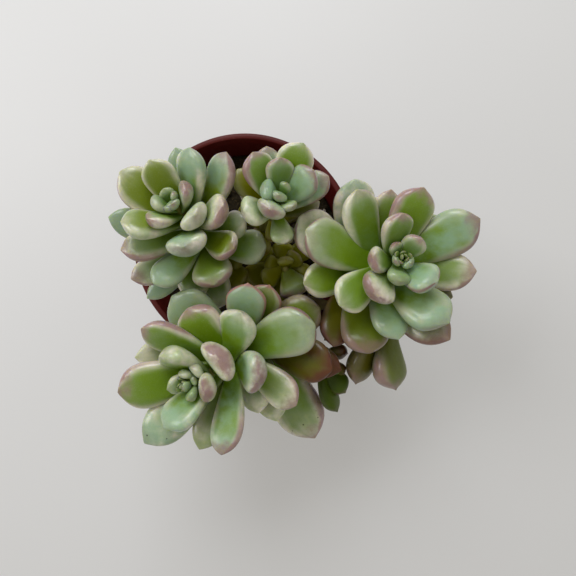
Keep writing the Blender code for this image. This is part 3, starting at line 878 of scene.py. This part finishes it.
def draw_stem(bm, path):
    """Add the round stem, made by drawing its end cap along the curve."""
    points, runs = path
    places = [Vector((points[0].x, points[0].y, STEM_FOOT_Z))]
    for index in range(STEM_RINGS):
        places.append(point_below_tip(path, runs[-1] * (1.0 - index / (STEM_RINGS - 1)))[0])
    made = bmesh.ops.create_circle(bm, cap_ends=True, segments=STEM_SIDES, radius=STEM_RADIUS,
                                   matrix=Matrix.Translation(places[0]))
    cap = made["verts"][0].link_faces[0]
    faces = {cap}
    heading = UP
    for index in range(1, len(places)):
        ahead = places[min(index + 1, len(places) - 1)] - places[index - 1]
        if index == 1:
            ahead = UP
        turn = heading.rotation_difference(ahead.normalized()).to_matrix()
        taper = (index - 1) / (len(places) - 2)
        radius = STEM_RADIUS + (STEM_TOP_RADIUS - STEM_RADIUS) * taper ** STEM_TAPER
        radius *= 1.0 + (KNOT_WAIST if index % KNOT_EVERY else KNOT_SWELL) * (1.0 - taper)
        centre = cap.calc_center_median()
        old_radius = (cap.verts[0].co - centre).length
        grown = bmesh.ops.extrude_face_region(bm, geom=[cap])
        if index > 1:
            faces.discard(cap)
            bmesh.ops.delete(bm, geom=[cap], context="FACES_ONLY")
        cap = [item for item in grown["geom"] if isinstance(item, bmesh.types.BMFace)][0]
        for vert in cap.verts:
            arm = turn @ (vert.co - centre)
            vert.co = places[index] + arm * (radius / old_radius)
            faces.update(vert.link_faces)
        heading = ahead.normalized()
    for face in faces:
        face.material_index = 1
    bmesh.ops.recalc_face_normals(bm, faces=list(faces))


def spin_profile(bm, profile):
    """Spin a chain of (radius, height) points about Z into a closed skin."""
    verts = [bm.verts.new((radius, 0.0, height)) for radius, height in profile]
    edges = [bm.edges.new(pair) for pair in zip(verts, verts[1:])]
    bmesh.ops.spin(bm, geom=verts + edges, cent=(0, 0, 0), axis=(0, 0, 1), dvec=(0, 0, 0),
                   angle=FULL_TURN, steps=POT_SEGMENTS, use_merge=True)
    bmesh.ops.remove_doubles(bm, verts=bm.verts[:], dist=MERGE)
    bmesh.ops.recalc_face_normals(bm, faces=bm.faces[:])


def pot_inner_radius(looks, height):
    """Inner radius of the pot's wall at a height."""
    low = BASE_RADIUS - looks.wall + BASE_STEP
    high = NECK_RADIUS - looks.wall - NECK_STEP
    share = (height - FLOOR_THICKNESS) / (looks.height - NECK_DROP - FLOOR_THICKNESS)
    return low + (high - low) * share


def soil_radius(pot, height):
    """Radius of the soil at a height, a little less than the pot's."""
    return pot_inner_radius(pot, height) - SOIL_GAP - SOIL_EASE


def soil_height(x, y, edge):
    """Height of the soil's top at a point."""
    place = Vector((x, y, 0.0)) * SOIL_LUMPS
    lump = noise.noise(place) + FINER * noise.noise(place * SOIL_MID_LUMPS)
    inner = max(1.0 - math.hypot(x, y) / edge, 0.0)
    fine = noise.noise(Vector((x, y, 3.0)) * SOIL_FINE_LUMPS) * SOIL_FINE
    rough = (SOIL_LUMP * lump + fine) * min(inner * SOIL_FADE, 1.0)
    return SOIL_LEVEL + SOIL_DOME * inner + rough


class SEDUM_OT_pot(bpy.types.Operator):
    """Mould the nursery pot with its rolled rim and drain holes"""

    bl_idname = "sedum.pot"
    bl_label = "Pot"

    def execute(self, context):
        """Spin the wall, cut the drain holes and replace the plain pot."""
        looks = context.scene.sedum_pot
        top, rim, drop = looks.height, looks.rim_radius, looks.lip_drop
        inner = rim - looks.lip_width
        profile = [
            # The underside, the chamfer and the outer wall up to the neck
            (0.0, 0.0), (HUB_RADIUS, 0.0), (BASE_RADIUS - BASE_CHAMFER, 0.0),
            (BASE_RADIUS - 0.0003, 0.0004), (BASE_RADIUS, BASE_CHAMFER),
            (BASE_RADIUS + (NECK_RADIUS - BASE_RADIUS) * 0.02, 0.0025),
            (NECK_RADIUS - 0.00008, top - 0.0021), (NECK_RADIUS, top - 0.0016),
            # The band that hangs from the rim: its inside, its lower edge and its outside
            (rim - 0.0009, top - 0.0015), (rim - 0.0008, top - drop + 0.0002),
            (rim - 0.0006, top - drop), (rim - 0.0002, top - drop), (rim, top - drop + 0.0003),
            # The rolled lip
            (rim, top - 0.0008), (rim - 0.0002, top - 0.0003), (rim - 0.0007, top),
            (inner + 0.0006, top), (inner + 0.0002, top - 0.0002), (inner, top - 0.0007),
            # The inner wall and the floor
            (NECK_RADIUS - looks.wall - 0.0002, top - 0.0018),
            (NECK_RADIUS - looks.wall - NECK_STEP, top - NECK_DROP),
            (pot_inner_radius(looks, 0.0030), 0.0030),
            (BASE_RADIUS - looks.wall - 0.0008, FLOOR_THICKNESS),
            (HUB_RADIUS, FLOOR_THICKNESS), (0.0, FLOOR_THICKNESS),
        ]
        bm = bmesh.new()
        spin_profile(bm, profile)
        pot = add_piece(bm, "nursery_pot", [pot_plastic(looks)])
        holes = bmesh.new()
        for index in range(DRAIN_COUNT):
            angle = FULL_TURN * (index + 0.5) / DRAIN_COUNT
            place = Vector((DRAIN_CIRCLE * math.cos(angle), DRAIN_CIRCLE * math.sin(angle), 0.0))
            bmesh.ops.create_cone(holes, cap_ends=True, segments=DRAIN_SEGMENTS,
                                  radius1=DRAIN_RADIUS, radius2=DRAIN_RADIUS,
                                  depth=DRAIN_DEPTH, matrix=Matrix.Translation(place))
        cutter = add_piece(holes, "drain_cutter", [])
        modifier = pot.modifiers.new("Drain holes", "BOOLEAN")
        modifier.operation = "DIFFERENCE"
        modifier.solver = "EXACT"
        modifier.object = cutter
        graph = context.evaluated_depsgraph_get()
        cut = bpy.data.meshes.new_from_object(pot.evaluated_get(graph))
        pot.modifiers.remove(modifier)
        pot.data = cut
        bpy.data.objects.remove(cutter, do_unlink=True)
        cut.shade_smooth()
        cut.set_sharp_from_angle(angle=math.radians(POT_SHARP_ANGLE))
        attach(pot, BODY)
        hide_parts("pot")
        return {"FINISHED"}


class SEDUM_OT_soil(bpy.types.Operator):
    """Fill the pot with crumbly soil and scatter crumbs and grit on it"""

    bl_idname = "sedum.soil"
    bl_label = "Soil"

    def execute(self, context):
        """Spin the soil, roughen its top and scatter the loose grains."""
        looks = context.scene.sedum_soil
        pot = context.scene.sedum_pot
        bottom = FLOOR_THICKNESS + SOIL_GAP
        edge = soil_radius(pot, SOIL_LEVEL)
        profile = [(0.0, bottom), (soil_radius(pot, bottom), bottom)]
        profile += [(edge * (1.0 - index / SOIL_RINGS), SOIL_LEVEL)
                    for index in range(SOIL_RINGS + 1)]
        bm = bmesh.new()
        spin_profile(bm, profile)
        for vert in bm.verts:
            if vert.co.z > SOIL_LEVEL - NEAR:
                vert.co.z = soil_height(vert.co.x, vert.co.y, edge)
        material = damp_soil(looks)
        soil = add_piece(bm, "potting_mix", [material])
        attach(soil, BODY)
        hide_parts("soil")
        draw = random.Random(SOIL_SEED)
        self.scatter("soil_crumbs", looks.crumbs, CRUMB_SIZES, edge, material, draw)
        self.scatter("soil_grit", looks.grit, GRIT_SIZES, edge, pale_grain(looks), draw)
        return {"FINISHED"}

    @staticmethod
    def scatter(name, count, sizes, edge, material, draw):
        """Lay loose lumps on the soil, each sunk a little into it."""
        bm = bmesh.new()
        for _ in range(count):
            size = draw.uniform(*sizes)
            angle = draw.uniform(0.0, FULL_TURN)
            radius = (edge - size * LUMP_CLEAR) * math.sqrt(draw.random())
            x, y = radius * math.cos(angle), radius * math.sin(angle)
            place = Matrix.Translation((x, y, soil_height(x, y, edge) + size * LUMP_STANDS))
            turn = Euler([draw.uniform(0.0, LUMP_TURN) for _ in range(3)]).to_matrix().to_4x4()
            shape = Matrix.Diagonal((size, size * draw.uniform(*LUMP_LENGTHS),
                                     size * draw.uniform(*LUMP_HEIGHTS), 1.0))
            made = bmesh.ops.create_icosphere(bm, subdivisions=1, radius=1.0,
                                              matrix=place @ turn @ shape)
            for vert in made["verts"]:
                jolt = Vector([draw.uniform(-1.0, 1.0) for _ in range(3)])
                vert.co += jolt * size * LUMP_JOLT
        lumps = add_piece(bm, name, [material])
        lumps.data.shade_flat()
        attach(lumps, BODY)


class SEDUM_OT_leafy_stems(bpy.types.Operator):
    """Grow the leafy stems, each with its rosette"""

    bl_idname = "sedum.leafy_stems"
    bl_label = "Leafy stems"

    def execute(self, context):
        """Grow each stem with its leaves and replace its plain solid."""
        looks = context.scene.sedum_leaf
        skins = [leaf_skin(looks), stem_skin(looks)]
        draw = random.Random(LEAF_SEED)
        for name, stem in STEMS.items():
            self.grow(name, stem, looks, skins, draw)
        return {"FINISHED"}

    @staticmethod
    def leaf_tones(stem, index, rise, youth, draw):
        """What the skin reads of one leaf, in the last four of the layers."""
        has = Counter(tone for tone, leaves in stem["tones"].items() if index in leaves)
        # Painted shade: a shaded stem and the olive and dusky tones raise a leaf's age, which
        # paints it olive
        shade = stem.get("shade", 0.0)
        age_and_shade = min(max(-rise, 0.0) / OLD_DROP + shade, 1.0) * (1.0 - BRIGHT_SHARE * has["bright"])
        age_and_shade = max(age_and_shade - youth * (1.0 - shade), OLIVE_AGE * has["olive"] - 1.0,
                  DUSKY_AGE * has["dusky"] - 1.0)
        deep = DEEP_LEAST + DEEP_CHANCE * draw.random()
        deep += sum(weight * has[tone] for tone, weight in DEEPENING.items())
        kind = Vector((age_and_shade, draw.random(), deep))
        mint = max(draw.random() ** 2 * MINT_CHANCE, has["mint"])
        mauve = max(draw.random() ** 2 * MAUVE_CHANCE, has["mauve"])
        ruddy = has["ruddy"] * (1.0 - RUDDY_HELD * (1.0 - has["olive"]))
        lean = draw.uniform(-1.0, 1.0) + LEAN_PUSH * (has["left"] - has["right"])
        marks = Vector((has["rimmed"], lean, has["specked"]))
        # The painted glow of bounced light: full among the stems, a share on sunny leaves
        hidden = has["hidden"] + SUNNY_SHARE * has["sunny"]
        haze = Vector((has["misty"], hidden, has["pointed"]))
        return kind, Vector((mint, ruddy, mauve)), marks, haze

    @classmethod
    def grow(cls, name, stem, looks, skins, draw):
        """Build one leafy stem in one piece."""
        bm = bmesh.new()
        layers = [bm.verts.layers.float_vector.new(layer) for layer in LAYERS]
        path = stem_path(stem)
        apex = Vector(stem["tip"]) * MM
        for index, (bearing, reach, rise, width, *spring) in enumerate(stem["leaves"]):
            drop = FIRST_NODE + NODE_STEP * index + NODE_GROWTH * index * index
            if spring:
                drop = spring[0] * MM
            root, growth = point_below_tip(path, drop)
            angle = math.radians(bearing)
            tip = apex + Vector((reach * math.cos(angle), reach * math.sin(angle), rise)) * MM
            youth = max(0.0, 1.0 - index / YOUNG_LEAVES)
            tones = cls.leaf_tones(stem, index, rise, youth, draw)
            form = (root, leaf_facing(growth, drop), tip, width * MM, youth)
            grow_leaf(bm, layers, form, tones, looks)
        count = stem.get("apex_leaves", 0)
        root, growth = point_below_tip(path, APEX_SPRING)
        for index in range(count):
            share = index / count
            rise, spread, width = (least + more * share
                                   for least, more in (APEX_RISE, APEX_SPREAD, APEX_WIDTH))
            angle = index * GOLDEN_ANGLE + stem["tip"][0]
            tip = apex + growth * rise
            tip += Vector((math.cos(angle), math.sin(angle), 0.0)) * spread
            tones = (Vector((APEX_AGE, draw.random(), APEX_DEEP)),
                     Vector((APEX_MINT, 0.0, APEX_MAUVE * draw.random())), Vector(), Vector())
            grow_leaf(bm, layers, (root, growth, tip, width, 1.0), tones, looks)
        draw_stem(bm, path)
        piece = add_piece(bm, name.replace("leafy_stem", "rosette"), skins, levels=1)
        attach(piece, BODY)
        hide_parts(name)


class SEDUM_OT_stage(bpy.types.Operator):
    """Set the table top, the lamps and the camera"""

    bl_idname = "sedum.stage"
    bl_label = "Stage"

    def execute(self, context):
        """Make the floor, the sky, the lamps and the camera that looks straight down."""
        looks = context.scene.sedum_stage
        scene = context.scene
        bm = bmesh.new()
        bmesh.ops.create_grid(bm, x_segments=1, y_segments=1, size=FLOOR_HALF)
        floor = add_piece(bm, "table_top", [table_top(looks)])
        world = bpy.data.worlds.new("soft_daylight")
        world.use_nodes = True
        sky = world.node_tree.nodes["Background"]
        sky.inputs["Color"].default_value = (*SKY_COLOUR, 1.0)
        sky.inputs["Strength"].default_value = looks.sky_strength
        scene.world = world
        self.lamp(*WINDOW, looks.key_power)
        self.lamp(*SIDE_WINDOW, looks.side_power)
        camera = bpy.data.cameras.new("camera")
        camera.lens = looks.lens
        camera.sensor_width = SENSOR_WIDTH
        camera.clip_start = CAMERA_CLIP
        viewer = bpy.data.objects.new("camera", camera)
        viewer.location = CAMERA_PLACE
        scene.collection.objects.link(viewer)
        scene.camera = viewer
        scene.view_settings.view_transform = "Standard"
        scene.view_settings.look = "None"
        return {"FINISHED"}

    @staticmethod
    def lamp(name, place, size, colour, power):
        """Add one square lamp that faces the plant."""
        light = bpy.data.lights.new(name, "AREA")
        light.size = size
        light.energy = power
        light.color = colour
        lamp = bpy.data.objects.new(name, light)
        lamp.location = place
        aim = LAMP_AIM - Vector(place)
        lamp.rotation_euler = aim.to_track_quat("-Z", "Y").to_euler()
        bpy.context.scene.collection.objects.link(lamp)


class SEDUM_PT_panel(bpy.types.Panel):
    """Sizes, colours and pieces of the potted sedum"""

    bl_idname = "SEDUM_PT_panel"
    bl_label = "Potted Sedum"
    bl_space_type = "VIEW_3D"
    bl_region_type = "UI"
    bl_category = "Sedum"

    def draw(self, context):
        """List each group of settings with the operator that uses it."""
        for group, operator in zip(SETTINGS, OPERATORS):
            settings = getattr(context.scene, group)
            box = self.layout.box()
            for name in settings.__annotations__:
                box.prop(settings, name)
            box.operator(operator.bl_idname)


SETTINGS = {
    "sedum_pot": SedumPotSettings,
    "sedum_soil": SedumSoilSettings,
    "sedum_leaf": SedumLeafSettings,
    "sedum_stage": SedumStageSettings,
}
OPERATORS = (SEDUM_OT_pot, SEDUM_OT_soil, SEDUM_OT_leafy_stems, SEDUM_OT_stage)
CLASSES = (*SETTINGS.values(), *OPERATORS, SEDUM_PT_panel)


def register():
    """Register the classes and hang the settings on the scene."""
    for item in CLASSES:
        bpy.utils.register_class(item)
    for name, group in SETTINGS.items():
        setattr(bpy.types.Scene, name, PointerProperty(type=group))


def unregister():
    """Take the settings and the classes away again."""
    for name in SETTINGS:
        delattr(bpy.types.Scene, name)
    for item in reversed(CLASSES):
        bpy.utils.unregister_class(item)


def main():
    """Dress the whole object and set the stage."""
    register()
    bpy.ops.sedum.pot()
    bpy.ops.sedum.soil()
    bpy.ops.sedum.leafy_stems()
    bpy.ops.sedum.stage()


if __name__ == "__main__":
    main()
